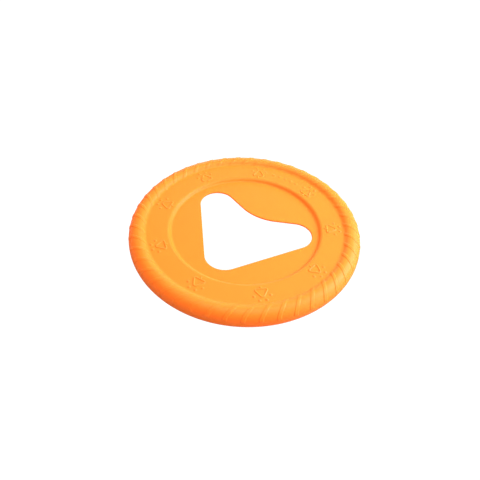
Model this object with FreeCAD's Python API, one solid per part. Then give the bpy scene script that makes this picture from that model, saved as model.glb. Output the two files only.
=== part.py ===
import FreeCAD, Part

import os
from math import acos, atan, atan2, cos, degrees, hypot, pi, radians, sin

Vector = FreeCAD.Vector

# Soft moulded flying disc, in millimetres. It rests on its rim with its centre line
# on +Z. +Y points from the grip hole's corner to its hollow side.

# Moulded body. The thin centre plate steps up to the thicker flight band, and the
# band rises into a rim that curls outwards and under.
outer_radius = 110.2
wall = 2.6
plate_wall = 1.6
plate_radius = 68.8
plate_step = 3.0
step_run = 5.8
band_radius = 92.6
band_height = 16.05
foot_share = 0.42

# Rim roll. Its round section dips below the ground plane and is cut flat there,
# which gives the ring that the disc rests on.
roll_radius = 9.6
foot_depth = 0.15

# Tread on the rim: low curved ribs, in equal sectors.
tread_height = 0.4
tread_width = 4.5
tread_sectors = 9
ribs_per_sector = 5
tread_lead = 0.65
tread_sweep = 7.5
tread_top_turn = 128.0
tread_low_turn = 6.0

# Paw print: a rounded triangular ridge with a heel bar, and four toes outside it.
# Places are (sideways, outwards) from a point on the print circle.
relief_height = 0.5
print_circle = 84.0
print_count = 9
pad_corners = ((0.0, 0.7, 3.0), (-3.9, -4.6, 2.45), (3.9, -4.6, 2.45))
pad_ridge = 2.2
heel_start = -5.8
heel_end = -9.0
heel_width = 2.2
toe_places = ((-7.35, 1.5), (-3.2, 6.3), (3.2, 6.3), (7.35, 1.5))
toe_radius = 1.8

# Plain raised dots, between the two paw prints on the +Y side.
dot_count = 5
dot_spacing = 4.4
dot_radius = 2.3

# Grip hole: a rounded triangle with a corner, two lobes and one hollow side, whose
# middle is at hollow_low along Y. It lies a little to the +X side of the centre line.
corner_centre = (0.0, -39.1)
corner_radius = 18.6
lobe_centre = (42.95, 16.9)
lobe_radius = 16.8
hollow_low = 21.3
hollow_radius = 48.0
hole_shift = 1.35

# Worked out from the above.
roll_centre = (outer_radius - roll_radius, roll_radius - foot_depth)
crest_height = roll_centre[1] + roll_radius
plate_height = band_height - plate_step
step_radius = plate_radius + step_run
rib_pitch = 360.0 / (tread_sectors * ribs_per_sector)
print_pitch = 360.0 / print_count
above_all = 2 * crest_height
axis_z = Vector(0, 0, 1)


def at(radius, height):
    """A point of a section, which lies in the XZ plane."""
    return Vector(radius, 0, height)


def arc_about(centre, radius, start, end):
    """A section arc between two angles in degrees, where 0 points outwards."""
    turns = [radians(start + (end - start) * share) for share in (0, 0.5, 1)]
    points = [at(centre[0] + radius * cos(t), centre[1] + radius * sin(t)) for t in turns]
    return Part.Arc(*points).toShape()


def climb(low, high):
    """Foot radius, shoulder radius and steepest slope of the two arcs, level at
    both ends, that climb from one height to another."""
    rise, run = high[1] - low[1], high[0] - low[0]
    slope = 2 * atan(rise / run)
    radii = run / sin(slope)
    return foot_share * radii, (1 - foot_share) * radii, degrees(slope)


def s_curve(low, high, depth):
    """The climb's two arcs, at a depth under its surface."""
    foot, shoulder, slope = climb(low, high)
    return [arc_about((low[0], low[1] + foot), foot + depth, -90, -90 + slope),
            arc_about((high[0], high[1] - shoulder), shoulder - depth, 90 + slope, 90)]


def ring(edges):
    """The ring that a closed section makes about the centre line."""
    face = Part.Face(Part.Wire(Part.__sortEdges__(edges)))
    return face.revolve(Vector(), axis_z, 360)


def on_circle(centre, radius, turn):
    """A point in plan on a circle, at an angle in radians."""
    return Vector(centre[0] + radius * cos(turn), centre[1] + radius * sin(turn), 0)


def mirrored(point):
    return Vector(-point.x, point.y, point.z)


def tangent_turn(first, second):
    """Where a straight line along the right of two circles touches both. Each
    circle is (x, y, radius)."""
    across, along = second[0] - first[0], second[1] - first[1]
    return atan2(along, across) - acos((first[2] - second[2]) / hypot(across, along))


def grip_hole_outline():
    """Corner, lobe and hollow arcs, with the straight lines that touch them."""
    across, along = -lobe_centre[0], hollow_low + hollow_radius - lobe_centre[1]
    leave = tangent_turn((*corner_centre, corner_radius), (*lobe_centre, lobe_radius))
    touch = atan2(along, across) - acos((lobe_radius + hollow_radius) / hypot(across, along))
    turns = (leave, (leave + touch) / 2, touch)
    corner = on_circle(corner_centre, corner_radius, leave)
    corner_low = on_circle(corner_centre, corner_radius, -pi / 2)
    lobe = [on_circle(lobe_centre, lobe_radius, turn) for turn in turns]
    far_lobe = [mirrored(point) for point in lobe]
    hollow = on_circle((0, hollow_low + hollow_radius), -hollow_radius, touch)
    return Part.Wire([Part.Arc(mirrored(corner), corner_low, corner).toShape(),
                      Part.makeLine(corner, lobe[0]),
                      Part.Arc(*lobe).toShape(),
                      Part.makeLine(lobe[2], hollow),
                      Part.Arc(hollow, Vector(0, hollow_low, 0), mirrored(hollow)).toShape(),
                      Part.makeLine(mirrored(hollow), far_lobe[2]),
                      Part.Arc(*reversed(far_lobe)).toShape(),
                      Part.makeLine(far_lobe[0], mirrored(corner))])


def centre_plate():
    """Recessed round plate with the grip hole through it."""
    plate = Part.makeCylinder(plate_radius, plate_wall, at(0, plate_height - plate_wall))
    hole = Part.Face(grip_hole_outline()).extrude(at(0, above_all))
    return plate.cut(hole.translated(Vector(hole_shift, 0, 0)))


def flight_band():
    """Flat ring, with the step on its inner edge, which thins towards the plate."""
    plate_under, band_under = plate_height - plate_wall, band_height - wall
    edges = s_curve((plate_radius, plate_height), (step_radius, band_height), 0)
    edges += s_curve((plate_radius, plate_under), (step_radius, band_under), 0)
    edges.append(Part.makeLine(at(plate_radius, plate_height), at(plate_radius, plate_under)))
    edges.append(Part.makeLine(at(band_radius, band_height), at(band_radius, band_under)))
    for height in (band_height, band_under):
        edges.append(Part.makeLine(at(step_radius, height), at(band_radius, height)))
    return ring(edges)


def rim_shoulder():
    """Inner slope of the rim, from the band up to the crest."""
    low, high = (band_radius, band_height), (roll_centre[0], crest_height)
    edges = s_curve(low, high, 0) + s_curve(low, high, wall)
    for radius, height in (low, high):
        edges.append(Part.makeLine(at(radius, height), at(radius, height - wall)))
    return ring(edges)


def roll_edges(start, end):
    """Outer and inner arcs of the rim's roll, and the square cut at each end
    that doesn't lie on the lip."""
    edges = [arc_about(roll_centre, roll_radius, start, end),
             arc_about(roll_centre, roll_radius - wall, start, end)]
    for turn in (start, end):
        if turn > -90:
            edges.append(square_cut(roll_centre, roll_radius - wall, roll_radius, turn))
    return edges


def square_cut(centre, near, far, turn):
    """A straight cut square to an arc, between two distances from its centre."""
    outwards = Vector(cos(radians(turn)), 0, sin(radians(turn)))
    return Part.makeLine(at(*centre) + outwards * near, at(*centre) + outwards * far)


def rim_crown():
    """Outer quarter of the roll, from the crest to the widest line."""
    return ring(roll_edges(90, 0))


def rim_lip():
    """Lower quarter of the roll, which curls under to a rounded lip and is flat
    where it rests."""
    lip_centre = (roll_centre[0], roll_centre[1] - roll_radius + wall / 2)
    edges = roll_edges(0, -90) + [arc_about(lip_centre, wall / 2, -90, -270)]
    ground = Part.makeCylinder(2 * outer_radius, above_all, at(0, -above_all))
    return ring(edges).cut(ground)


def tread_skin():
    """Thin ring that lies on the rim, from its inner slope to above its widest line."""
    shoulder_radius = climb((band_radius, band_height), (roll_centre[0], crest_height))[1]
    shoulder = (roll_centre[0], crest_height - shoulder_radius)
    edges = []
    for height in (0, tread_height):
        edges.append(arc_about(shoulder, shoulder_radius + height, tread_top_turn, 90))
        edges.append(arc_about(roll_centre, roll_radius + height, 90, tread_low_turn))
    edges.append(square_cut(shoulder, shoulder_radius, shoulder_radius + tread_height, tread_top_turn))
    edges.append(square_cut(roll_centre, roll_radius, roll_radius + tread_height, tread_low_turn))
    return ring(edges)


def rib_point(radius, aside):
    """A point in plan on a rib's side, which falls back as it runs outwards. The
    side is at an angle in degrees from the rib's middle line."""
    share = (radius - band_radius) / (outer_radius - band_radius)
    return on_circle((0, 0), radius, radians(90 + tread_lead + aside - tread_sweep * share))


def rib_blade():
    """Upright prism between the two swept sides of one rib."""
    inner, outer = band_radius, outer_radius + tread_height
    half_width = degrees(tread_width / (2 * roll_centre[0]))
    edges = [Part.makeLine(rib_point(radius, -half_width), rib_point(radius, half_width))
             for radius in (inner, outer)]
    for aside in (-half_width, half_width):
        points = [rib_point(radius, aside) for radius in (inner, (inner + outer) / 2, outer)]
        edges.append(Part.Arc(*points).toShape())
    return Part.Face(Part.Wire(Part.__sortEdges__(edges))).extrude(at(0, above_all))


def tread_sector(rib, number):
    """One sector of the tread: the rib, repeated at the tread's pitch."""
    places = range(number * ribs_per_sector, (number + 1) * ribs_per_sector)
    return Part.makeCompound([rib.rotated(Vector(), axis_z, place * rib_pitch) for place in places])


def belt(circles):
    """The outline of a belt drawn round circles, each (x, y, radius)."""
    edges = []
    leaves = [tangent_turn(circle, circles[(index + 1) % len(circles)])
              for index, circle in enumerate(circles)]
    for index, (x, y, radius) in enumerate(circles):
        arrive, leave = leaves[index - 1], leaves[index]
        while leave < arrive:
            leave += 2 * pi
        turns = (arrive, (arrive + leave) / 2, leave)
        edges.append(Part.Arc(*[on_circle((x, y), radius, turn) for turn in turns]).toShape())
        following = circles[(index + 1) % len(circles)]
        touch = on_circle(following[:2], following[2], leave)
        edges.append(Part.makeLine(edges[-1].Vertexes[-1].Point, touch))
    return Part.Wire(edges)


def raised(outline):
    """A flat outline, raised to the height of the reliefs."""
    return Part.Face(outline).extrude(at(0, relief_height))


def dot(across, out, radius):
    return Part.makeCylinder(radius, relief_height, Vector(across, out, 0))


def pad():
    """The paw's main pad: a ridge with a bar from its heel towards the centre."""
    outer = raised(belt(pad_corners))
    inner = raised(belt([(x, y, radius - pad_ridge) for x, y, radius in pad_corners]))
    heel = raised(belt([(0, heel_start, heel_width / 2), (0, heel_end + heel_width / 2, heel_width / 2)]))
    return outer.fuse(heel).removeSplitter().cut(inner)


def on_band(shape, turn):
    """A relief, placed at the print circle and turned to an angle in degrees."""
    placed = shape.translated(Vector(0, print_circle, band_height))
    return placed.rotated(Vector(), axis_z, turn - 90)


def paw_print(number):
    toes = [dot(across, out, toe_radius) for across, out in toe_places]
    return on_band(Part.makeCompound([pad()] + toes), 90 + (number + 0.5) * print_pitch)


def dot_row():
    middle = (dot_count - 1) / 2
    dots = [on_band(dot(0, 0, dot_radius), 90 + (place - middle) * dot_spacing)
            for place in range(dot_count)]
    return Part.makeCompound(dots)


def pieces():
    """Every named piece of the disc."""
    yield "centre_plate", centre_plate()
    yield "flight_band", flight_band()
    yield "rim_shoulder", rim_shoulder()
    yield "rim_crown", rim_crown()
    yield "rim_lip", rim_lip()
    rib = tread_skin().common(rib_blade())
    for number in range(tread_sectors):
        yield f"tread_sector_{number + 1}", tread_sector(rib, number)
    for number in range(print_count):
        yield f"paw_print_{number + 1}", paw_print(number)
    yield "dot_row", dot_row()


os.makedirs("parts", exist_ok=True)
for name, shape in pieces():
    shape.exportStep(f"parts/{name}.step")
    print(name, "solids", len(shape.Solids), "valid", shape.isValid(), "volume", round(shape.Volume, 1))
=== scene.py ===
from math import acos, asin, atan, atan2, cos, hypot, pi, radians, sin

import bmesh
import bpy
from mathutils import Matrix, Vector


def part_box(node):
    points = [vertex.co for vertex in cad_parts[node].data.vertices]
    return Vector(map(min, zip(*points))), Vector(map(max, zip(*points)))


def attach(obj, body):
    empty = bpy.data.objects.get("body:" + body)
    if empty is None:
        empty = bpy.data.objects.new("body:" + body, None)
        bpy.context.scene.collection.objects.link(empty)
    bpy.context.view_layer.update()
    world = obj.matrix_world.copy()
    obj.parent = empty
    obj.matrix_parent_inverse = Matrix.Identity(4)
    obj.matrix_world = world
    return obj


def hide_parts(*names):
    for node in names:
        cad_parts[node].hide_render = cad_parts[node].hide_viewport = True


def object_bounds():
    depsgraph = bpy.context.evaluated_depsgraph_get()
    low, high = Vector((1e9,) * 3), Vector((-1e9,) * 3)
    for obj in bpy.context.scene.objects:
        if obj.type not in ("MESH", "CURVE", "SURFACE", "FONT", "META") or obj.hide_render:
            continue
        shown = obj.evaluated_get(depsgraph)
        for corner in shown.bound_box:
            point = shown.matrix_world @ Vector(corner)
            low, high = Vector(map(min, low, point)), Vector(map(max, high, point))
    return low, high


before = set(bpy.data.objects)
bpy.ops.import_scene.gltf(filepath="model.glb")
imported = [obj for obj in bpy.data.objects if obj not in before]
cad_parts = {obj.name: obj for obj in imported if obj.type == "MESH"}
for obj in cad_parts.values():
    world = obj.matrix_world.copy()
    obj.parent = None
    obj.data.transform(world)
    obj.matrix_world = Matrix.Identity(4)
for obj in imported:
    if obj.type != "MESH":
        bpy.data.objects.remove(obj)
cad_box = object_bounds()

# ---------------------------------------------------------------------------
# Flight band. The flat ring between the centre plate and the rim, with the step
# down to the plate on its inner edge. The whole disc is one moulding in a soft
# orange rubber, so the rubber and the way a piece is finished are made here.
# ---------------------------------------------------------------------------

RUBBER = (0.97, 0.150, 0.0055)
PALER_RUBBER = (0.98, 0.164, 0.0070)
BROAD_CLOUDS = 22.0
FINE_CLOUDS = 260.0
BROAD_SHARE = 0.7
GRAIN_SCALE = 2600.0
GRAIN_HEIGHT = 0.000006
DIP_SCALE = 55.0
DIP_HEIGHT = 0.00006
ROUGHNESS = 0.47
ROUGHNESS_SPREAD = 0.1
FOOT_SHARE = 0.42
STEP_RUN = 0.0058
ARC_STEPS = 14
RING_STEPS = 360
SHARP_EDGE = radians(38)
TOUCHING = 0.000001


class Shade:
    """A socket of a material's nodes. Arithmetic on it adds Math nodes."""

    def __init__(self, tree, socket=None):
        self.tree = tree
        self.socket = socket

    def node(self, kind, settings=None, output=0, **inputs):
        """Adds a node, settings first and then its sockets, and gives one output."""
        made = self.tree.nodes.new(kind)
        for name, value in (settings or {}).items():
            setattr(made, name, value)
        for name, value in inputs.items():
            name = int(name[1:]) if name[1:].isdigit() else name.replace("_", " ")
            if isinstance(value, Shade):
                self.tree.links.new(value.socket, made.inputs[name])
            else:
                made.inputs[name].default_value = value
        return Shade(self.tree, made.outputs[output])

    def maths(self, operation, first, second):
        return self.node("ShaderNodeMath", {"operation": operation}, _0=first, _1=second)

    def __add__(self, other):
        return self.maths("ADD", self, other)

    def __mul__(self, other):
        return self.maths("MULTIPLY", self, other)

    def __rsub__(self, other):
        return self.maths("SUBTRACT", other, self)

    __radd__ = __add__
    __rmul__ = __mul__


def orange_rubber():
    """Satin moulded rubber: faint clouds in the colour, a fine mould grain and a
    slight unevenness of the surface, all on Object coordinates."""
    rubber = bpy.data.materials.new("satin_orange_rubber")
    rubber.use_nodes = True
    tree = rubber.node_tree
    skin = tree.nodes["Principled BSDF"]
    place = Shade(tree).node("ShaderNodeTexCoord", output="Object")

    def clouds(scale, detail):
        return place.node("ShaderNodeTexNoise", Vector=place, Scale=scale, Detail=detail)

    tone = clouds(BROAD_CLOUDS, 3.0) * BROAD_SHARE + clouds(FINE_CLOUDS, 2.0) * (1 - BROAD_SHARE)
    colour = place.node("ShaderNodeMix", {"data_type": "RGBA"}, output=2,
                        _0=tone, _6=(*RUBBER, 1), _7=(*PALER_RUBBER, 1))
    grain = clouds(GRAIN_SCALE, 2.0)
    unevenness = grain * GRAIN_HEIGHT + clouds(DIP_SCALE, 1.0) * DIP_HEIGHT
    bumps = place.node("ShaderNodeBump", Height=unevenness, Strength=1.0, Distance=1.0)
    tree.links.new(colour.socket, skin.inputs["Base Color"])
    tree.links.new((ROUGHNESS + ROUGHNESS_SPREAD * grain).socket, skin.inputs["Roughness"])
    tree.links.new(bumps.socket, skin.inputs["Normal"])
    skin.inputs["IOR"].default_value = 1.45
    skin.inputs["Specular IOR Level"].default_value = 0.25
    skin.inputs["Subsurface Weight"].default_value = 0.12
    skin.inputs["Subsurface Radius"].default_value = (1.0, 0.35, 0.1)
    skin.inputs["Subsurface Scale"].default_value = 0.002
    return rubber


orange = orange_rubber()


def moulded(bm, node):
    """Finishes a piece of the moulding, which stands for its CAD node."""
    bmesh.ops.remove_doubles(bm, verts=bm.verts, dist=TOUCHING)
    bmesh.ops.recalc_face_normals(bm, faces=bm.faces)
    mesh = bpy.data.meshes.new(f"moulded_{node}")
    bm.to_mesh(mesh)
    bm.free()
    mesh.shade_smooth()
    mesh.set_sharp_from_angle(angle=SHARP_EDGE)
    mesh.materials.append(orange)
    piece = bpy.data.objects.new(f"moulded_{node}", mesh)
    bpy.context.scene.collection.objects.link(piece)
    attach(piece, "root")
    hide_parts(node)
    return piece


def arc(centre, radius, start, end, steps=ARC_STEPS):
    """Points of a section arc, between two angles in degrees from outwards."""
    turns = [radians(start + (end - start) * step / steps) for step in range(steps + 1)]
    return [(centre[0] + radius * cos(turn), centre[1] + radius * sin(turn)) for turn in turns]


def climb(low, high):
    """The two arcs, level at both ends, that climb from low to high: the foot's
    radius, the shoulder's radius, and the steepest slope in degrees."""
    rise, run = high[1] - low[1], high[0] - low[0]
    slope = 2 * atan(rise / run)
    radii = run / sin(slope)
    return FOOT_SHARE * radii, (1 - FOOT_SHARE) * radii, slope * 180 / pi


def s_curve(low, high, depth):
    """Points of that climb, at a depth under its surface."""
    foot, shoulder, slope = climb(low, high)
    lower = arc((low[0], low[1] + foot), foot + depth, -90, slope - 90)
    upper = arc((high[0], high[1] - shoulder), shoulder - depth, 90 + slope, 90)
    return lower + upper[1:]


def ring(bm, section):
    """Spins a closed section about the disc's centre line."""
    corners = [bm.verts.new((radius, 0, height)) for radius, height in section]
    edges = [bm.edges.new(pair) for pair in zip(corners, corners[1:] + corners[:1])]
    bmesh.ops.spin(bm, geom=corners + edges, cent=(0, 0, 0), axis=(0, 0, 1), angle=2 * pi,
                   steps=RING_STEPS, use_merge=True)


plate_low, plate_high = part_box("centre_plate")
band_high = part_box("flight_band")[1]
band_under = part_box("rim_shoulder")[0].z
wall = band_high.z - band_under
step_radius = plate_high.x + STEP_RUN
band_edge = (band_high.x, band_high.z)

bm = bmesh.new()
upper = s_curve((plate_high.x, plate_high.z), (step_radius, band_high.z), 0)
under = s_curve((plate_high.x, plate_low.z), (step_radius, band_under), 0)
ring(bm, upper + [band_edge, (band_edge[0], band_under)] + under[::-1])
moulded(bm, "flight_band")

# ---------------------------------------------------------------------------
# Centre plate. The recessed round plate, a thinner sheet of the same rubber. The
# grip hole goes right through it: a rounded triangle with two lobes and one
# hollow side, its edges softened where the two halves of the mould close.
# ---------------------------------------------------------------------------

CORNER = Vector((0, -0.0391))
CORNER_RADIUS = 0.0186
LOBE = Vector((0.04295, 0.0169))
LOBE_RADIUS = 0.0168
HOLLOW_LOW = 0.0213
HOLLOW_RADIUS = 0.0480
HOLE_SHIFT = 0.00135
HOLE_ROUND = 0.0006
ROUND_STEPS = 5
CORNER_STEPS = 20
LOBE_STEPS = 40
HOLLOW_STEPS = 24


def hole_outline(bm, offset, height):
    """A closed loop round the grip hole, at an offset outside its edge: corner, lobe
    and hollow arcs down the right, and the same mirrored up the left."""
    hollow = Vector((0, HOLLOW_LOW + HOLLOW_RADIUS))
    across = hollow - LOBE
    corner_radius, lobe_radius = CORNER_RADIUS + offset, LOBE_RADIUS + offset
    hollow_radius = HOLLOW_RADIUS - offset
    leave = atan2(LOBE.y - CORNER.y, LOBE.x) - acos((corner_radius - lobe_radius) / (LOBE - CORNER).length)
    touch = atan2(across.y, across.x) - acos((LOBE_RADIUS + HOLLOW_RADIUS) / across.length)
    turned = (leave * 180 / pi, touch * 180 / pi)
    right = arc(CORNER, corner_radius, -90, turned[0], CORNER_STEPS)
    right += arc(LOBE, lobe_radius, *turned, LOBE_STEPS)
    right += arc(hollow, hollow_radius, turned[1] - 180, -90, HOLLOW_STEPS)
    left = [(-x, y) for x, y in right[-2:0:-1]]
    corners = [bm.verts.new((x + HOLE_SHIFT, y, height)) for x, y in right + left]
    return [bm.edges.new(pair) for pair in zip(corners, corners[1:] + corners[:1])]


bm = bmesh.new()
half = (plate_low.z + plate_high.z) / 2
rim_of_plate = bmesh.ops.create_circle(bm, segments=RING_STEPS, radius=plate_high.x,
                                       matrix=Matrix.Translation((0, 0, plate_high.z)))["verts"]
outer_loop = list({edge for corner in rim_of_plate for edge in corner.link_edges})
loops = [hole_outline(bm, 2 * HOLE_ROUND, plate_high.z)]
for step in range(ROUND_STEPS + 1):
    turn = pi / 2 * step / ROUND_STEPS
    height = plate_high.z - HOLE_ROUND * (1 - cos(turn))
    loops.append(hole_outline(bm, HOLE_ROUND * (1 - sin(turn)), height))
loops.append(hole_outline(bm, 0, half))
for loop, following in zip(loops, loops[1:]):
    bmesh.ops.bridge_loops(bm, edges=loop + following)
bmesh.ops.triangle_fill(bm, edges=outer_loop + loops[0], use_beauty=True)
edge_wall = bmesh.ops.extrude_edge_only(bm, edges=outer_loop)["geom"]
edge_low = [corner for corner in edge_wall if isinstance(corner, bmesh.types.BMVert)]
bmesh.ops.translate(bm, verts=edge_low, vec=(0, 0, half - plate_high.z))
bmesh.ops.mirror(bm, geom=bm.verts[:] + bm.edges[:] + bm.faces[:], axis="Z", merge_dist=TOUCHING,
                 matrix=Matrix.Translation((0, 0, -half)))
moulded(bm, "centre_plate")

# ---------------------------------------------------------------------------
# Rim. The band turns up into a shoulder, over a crown and under to a lip, as one
# curled wall that is soft to catch. It is open underneath on its inner side, and
# the lip has a narrow flat ring that the disc rests on.
# ---------------------------------------------------------------------------

crown_low, crown_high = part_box("rim_crown")
roll_radius = crown_high.z - crown_low.z
roll_centre = (crown_high.x - roll_radius, crown_low.z)
crest = (roll_centre[0], crown_high.z)

bm = bmesh.new()
ring(bm, s_curve(band_edge, crest, 0) + s_curve(band_edge, crest, wall)[::-1])
moulded(bm, "rim_shoulder")

bm = bmesh.new()
ring(bm, arc(roll_centre, roll_radius, 90, 0) + arc(roll_centre, roll_radius - wall, 0, 90))
moulded(bm, "rim_crown")

bm = bmesh.new()
lip_centre = (roll_centre[0], roll_centre[1] - roll_radius + wall / 2)
ground_outside = -asin(roll_centre[1] / roll_radius) * 180 / pi
ground_inside = asin(lip_centre[1] / (wall / 2)) * 180 / pi - 180
lip = arc(roll_centre, roll_radius, 0, ground_outside)
lip += arc(lip_centre, wall / 2, ground_inside, -270)
lip += arc(roll_centre, roll_radius - wall, -90, 0)[1:]
ring(bm, lip)
moulded(bm, "rim_lip")

# ---------------------------------------------------------------------------
# Tread. Low rounded ribs like those of a tyre cross the rim, moulded with it. Each
# rises softly at the foot of the shoulder, sweeps round as it climbs over the crown,
# and runs straight down to a crisp rounded end just above the widest line.
# ---------------------------------------------------------------------------

SECTORS = 9
RIBS_PER_SECTOR = 5
RIB_PITCH = 360 / (SECTORS * RIBS_PER_SECTOR)
LEAD = 0.65
SWEEP = 7.5
SWEEP_LENGTH = 0.0205
SWEEP_POWER = 5
RIB_START = 0.0008
RIB_END = 0.0222
RIB_HALF_WIDTH = 0.0019
SOFT_FLANK = 0.0019
CRISP_FLANK = 0.0011
SOFT_END = 0.0022
CRISP_END = 0.0012
GROWS_FROM = 0.0070
GROWS_OVER = 0.0070
LOW_SHARE = 0.8
RIB_SUNK = 0.00005
RIB_DEPTH = 0.0005
ALONG_STEPS = 52
ACROSS_STEPS = 20

tread_height = cad_box[1][2] - crown_high.z
foot_radius, shoulder_radius, slope = climb(band_edge, crest)
rim_arcs = [((band_edge[0], band_edge[1] + foot_radius), -foot_radius, 90, slope),
            ((crest[0], crest[1] - shoulder_radius), shoulder_radius, 90 + slope, slope),
            (roll_centre, roll_radius, 90, 180)]


def rim_line(length):
    """Place and outward direction of the rim's surface, at a length from the band."""
    for centre, radius, start, turned in rim_arcs:
        arc_length = radians(turned) * abs(radius)
        if length <= arc_length:
            break
        length -= arc_length
    turn = radians(start) - length / radius
    outward = Vector((cos(turn), sin(turn)))
    return Vector(centre) + radius * outward, outward


def smooth(share):
    share = min(max(share, 0), 1)
    return share * share * (3 - 2 * share)


def rib_point(along, across, rib):
    """Where a rib's surface lies, from its length along the rim's section and its
    share of the way across, from -1 to 1. The rib grows taller and crisper downwards."""
    place, outward = rim_line(along)
    grown = smooth((along - GROWS_FROM) / GROWS_OVER)
    flank = SOFT_FLANK + (CRISP_FLANK - SOFT_FLANK) * grown
    foot = RIB_HALF_WIDTH + flank / 2
    share = min(along / SWEEP_LENGTH, 1)
    swept = SWEEP * (SWEEP_POWER * share - share ** SWEEP_POWER) / (SWEEP_POWER - 1)
    turn = radians(90 + LEAD + rib * RIB_PITCH - swept) + across * foot / place.x
    fade = smooth((along - RIB_START) / SOFT_END) * smooth((RIB_END - along) / CRISP_END)
    swell = smooth((1 - abs(across)) * foot / flank) * fade * (LOW_SHARE + (1 - LOW_SHARE) * grown)
    place += outward * ((tread_height + RIB_SUNK) * swell - RIB_SUNK)
    return Vector((place.x * cos(turn), place.x * sin(turn), place.y))


for sector in range(SECTORS):
    bm = bmesh.new()
    for rib in range(sector * RIBS_PER_SECTOR, (sector + 1) * RIBS_PER_SECTOR):
        sheet = bmesh.ops.create_grid(bm, x_segments=ALONG_STEPS, y_segments=ACROSS_STEPS, size=0.5)
        for corner in sheet["verts"]:
            along = RIB_START + (corner.co.x + 0.5) * (RIB_END - RIB_START)
            corner.co = rib_point(along, 2 * corner.co.y, rib)
    bmesh.ops.recalc_face_normals(bm, faces=bm.faces)
    bmesh.ops.solidify(bm, geom=bm.faces, thickness=RIB_DEPTH)
    moulded(bm, f"tread_sector_{sector + 1}")

# ---------------------------------------------------------------------------
# Paw prints. Nine low reliefs stand on the band, moulded with it: the pad is a
# rounded triangular ridge with a bar at its heel, and four toes are low domes.
# ---------------------------------------------------------------------------

PRINT_CIRCLE = 0.0840
PRINTS = 9
PAD_CORNERS = ((0, 0.0007, 0.0030), (-0.0039, -0.0046, 0.00245), (0.0039, -0.0046, 0.00245))
PAD_RIDGE = 0.0022
HEEL = ((0, -0.0058, 0.0011), (0, -0.0079, 0.0011))
TOES = ((-0.00735, 0.0015), (-0.0032, 0.0063), (0.0032, 0.0063), (0.00735, 0.0015))
TOE_RADIUS = 0.0018
RELIEF_SUNK = 0.0001
RELIEF_STEPS = 8
BELT_STEPS = 10
CIRCLE_STEPS = 24

relief_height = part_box("paw_print_1")[1].z - band_high.z


def belt(circles):
    """Points of a belt drawn round circles, each (x, y, radius)."""
    leaves = []
    for (x, y, radius), (next_x, next_y, next_radius) in zip(circles, circles[1:] + circles[:1]):
        lean = acos((radius - next_radius) / hypot(next_x - x, next_y - y))
        leaves.append((atan2(next_y - y, next_x - x) - lean) * 180 / pi)
    points = []
    for index, (x, y, radius) in enumerate(circles):
        arrive, leave = leaves[index - 1], leaves[index]
        points += arc((x, y), radius, arrive, arrive + (leave - arrive) % 360, BELT_STEPS)
    return points


def circle(centre, radius):
    """Points of a whole circle, without its first one again at the end."""
    return arc(centre, radius, 0, 360, CIRCLE_STEPS)[:-1]


def relief(bm, outline, steps):
    """Raises an outline on the band by steps of (distance in, height)."""
    base = [bm.verts.new((x, PRINT_CIRCLE + y, band_high.z - 2 * RELIEF_SUNK)) for x, y in outline]
    lifted = bmesh.ops.extrude_face_region(bm, geom=[bm.faces.new(base)])["geom"]
    top = next(part for part in lifted if isinstance(part, bmesh.types.BMFace))
    inside, height = 0, -2 * RELIEF_SUNK
    for distance, lift in [(0, -RELIEF_SUNK)] + steps:
        if distance > inside:
            bmesh.ops.inset_region(bm, faces=[top], thickness=distance - inside,
                                   use_boundary=True, use_even_offset=True)
        bmesh.ops.translate(bm, verts=top.verts, vec=(0, 0, lift - height))
        inside, height = distance, lift


def ridge(width):
    """Steps over a rounded ridge, which comes down again inside the outline."""
    shares = [step / RELIEF_STEPS for step in range(1, RELIEF_STEPS + 1)]
    return [(width * share, (relief_height + RELIEF_SUNK) * sin(pi * share) - RELIEF_SUNK)
            for share in shares]


def dome(radius):
    """Steps over a low dome, which ends in a small flat."""
    shares = [step / RELIEF_STEPS for step in range(1, RELIEF_STEPS)]
    return [(radius * share, (relief_height + RELIEF_SUNK) * sin(pi / 2 * share) - RELIEF_SUNK)
            for share in shares]


def on_band(bm, turn, node):
    """Turns reliefs that were made at +Y to their own place on the band."""
    bmesh.ops.rotate(bm, verts=bm.verts, cent=(0, 0, 0), matrix=Matrix.Rotation(radians(turn), 3, "Z"))
    moulded(bm, node)


for number in range(PRINTS):
    bm = bmesh.new()
    relief(bm, belt(PAD_CORNERS), ridge(PAD_RIDGE))
    relief(bm, belt(HEEL), dome(HEEL[0][2]))
    for across, out in TOES:
        relief(bm, circle((across, out), TOE_RADIUS), dome(TOE_RADIUS))
    on_band(bm, (number + 0.5) * 360 / PRINTS, f"paw_print_{number + 1}")

# ---------------------------------------------------------------------------
# Dot row. Five plain low domes in the gap between two paw prints, moulded with
# the band in the same way as the toes.
# ---------------------------------------------------------------------------

DOTS = 5
DOT_SPACING = 4.4
DOT_RADIUS = 0.0023

bm = bmesh.new()
for place in range(DOTS):
    made = set(bm.verts)
    relief(bm, circle((0, 0), DOT_RADIUS), dome(DOT_RADIUS))
    swing = Matrix.Rotation(radians((place - (DOTS - 1) / 2) * DOT_SPACING), 3, "Z")
    new = [corner for corner in bm.verts if corner not in made]
    bmesh.ops.rotate(bm, verts=new, cent=(0, 0, 0), matrix=swing)
moulded(bm, "dot_row")

# ---------------------------------------------------------------------------
# Setting. A plain white floor that doesn't glow on the disc, over a darker one that light
# bounces from. The main soft light is on the right, with one overhead, low ones behind
# and at the right front, and even light all round. Each is (turn, height, width, watts).
# ---------------------------------------------------------------------------

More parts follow.
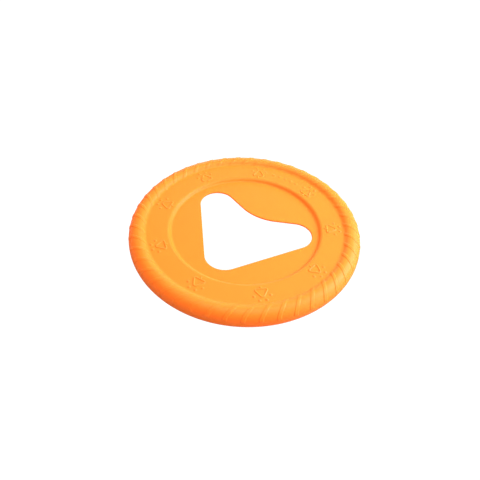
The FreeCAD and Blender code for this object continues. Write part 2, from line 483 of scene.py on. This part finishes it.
FLOOR_HALF = 3.0
FLOOR_GLOW = 1.1
FLOOR_DROP = 0.0001
BOUNCE_TONE = 0.45
AMBIENT = 0.70
MAIN_LIGHT = (44, 34, 0.7, 21.0)
HIGH_LIGHT = (58, 86, 0.7, 7.2)
BACK_LIGHT = (118, 12, 0.7, 3.2)
FRONT_LIGHT = (10, 8, 0.7, 6.0)
LIGHT_DISTANCE = 1.0
VIEW_TURN = 28
VIEW_HEIGHT = 43.91
VIEW_DISTANCE = 0.5486
VIEW_ROLL = 3.03
LENS = 43.14
SHIFT = (-0.01075, -0.0284)


def floor(name, drop, tone, glow):
    """A matt floor just under the ground, with its own tone and glow."""
    mesh = bpy.data.meshes.new(name)
    bm = bmesh.new()
    bmesh.ops.create_grid(bm, x_segments=1, y_segments=1, size=FLOOR_HALF,
                          matrix=Matrix.Translation((0, 0, -drop)))
    bm.to_mesh(mesh)
    bm.free()
    finish = bpy.data.materials.new(name)
    finish.use_nodes = True
    matt = finish.node_tree.nodes["Principled BSDF"]
    matt.inputs["Base Color"].default_value = (tone, tone, tone, 1)
    matt.inputs["Roughness"].default_value = 1.0
    matt.inputs["Specular IOR Level"].default_value = 0.0
    matt.inputs["Emission Color"].default_value = (1, 1, 1, 1)
    matt.inputs["Emission Strength"].default_value = glow
    mesh.materials.append(finish)
    made = bpy.data.objects.new(name, mesh)
    bpy.context.scene.collection.objects.link(made)
    return made


white_floor = floor("white_floor", FLOOR_DROP, 0, FLOOR_GLOW)
white_floor.visible_diffuse = False
white_floor.visible_glossy = False
white_floor.visible_shadow = False
floor("bounce_floor", 2 * FLOOR_DROP, BOUNCE_TONE, 0).visible_camera = False

world = bpy.data.worlds.new("studio")
world.use_nodes = True
world.node_tree.nodes["Background"].inputs["Strength"].default_value = AMBIENT
world.node_tree.nodes["Background"].inputs["Color"].default_value = (1, 1, 1, 1)
bpy.context.scene.world = world


def towards(turn, height, distance, target):
    """A point at a distance from a target, by compass turn and height in degrees,
    and the rotation that looks back at the target."""
    turn, height = radians(turn), radians(height)
    line = Vector((cos(height) * cos(turn), cos(height) * sin(turn), sin(height)))
    return target + line * distance, line.to_track_quat("Z", "Y").to_matrix().to_4x4()


band_middle = Vector((0, 0, band_high.z))
for turn, height, size, power in (MAIN_LIGHT, HIGH_LIGHT, BACK_LIGHT, FRONT_LIGHT):
    place, aim = towards(turn, height, LIGHT_DISTANCE, band_middle)
    panel = bpy.data.lights.new("panel", "AREA")
    panel.shape = "DISK"
    panel.size = size
    panel.energy = power
    light = bpy.data.objects.new("panel", panel)
    light.matrix_world = Matrix.Translation(place) @ aim
    bpy.context.scene.collection.objects.link(light)

place, aim = towards(VIEW_TURN - 90, VIEW_HEIGHT, VIEW_DISTANCE, band_middle)
lens = bpy.data.cameras.new("camera")
lens.lens = LENS
lens.shift_x, lens.shift_y = SHIFT
camera = bpy.data.objects.new("camera", lens)
camera.matrix_world = Matrix.Translation(place) @ aim @ Matrix.Rotation(radians(VIEW_ROLL), 4, "Z")
bpy.context.scene.collection.objects.link(camera)
bpy.context.scene.camera = camera
bpy.context.scene.view_settings.view_transform = "Standard"
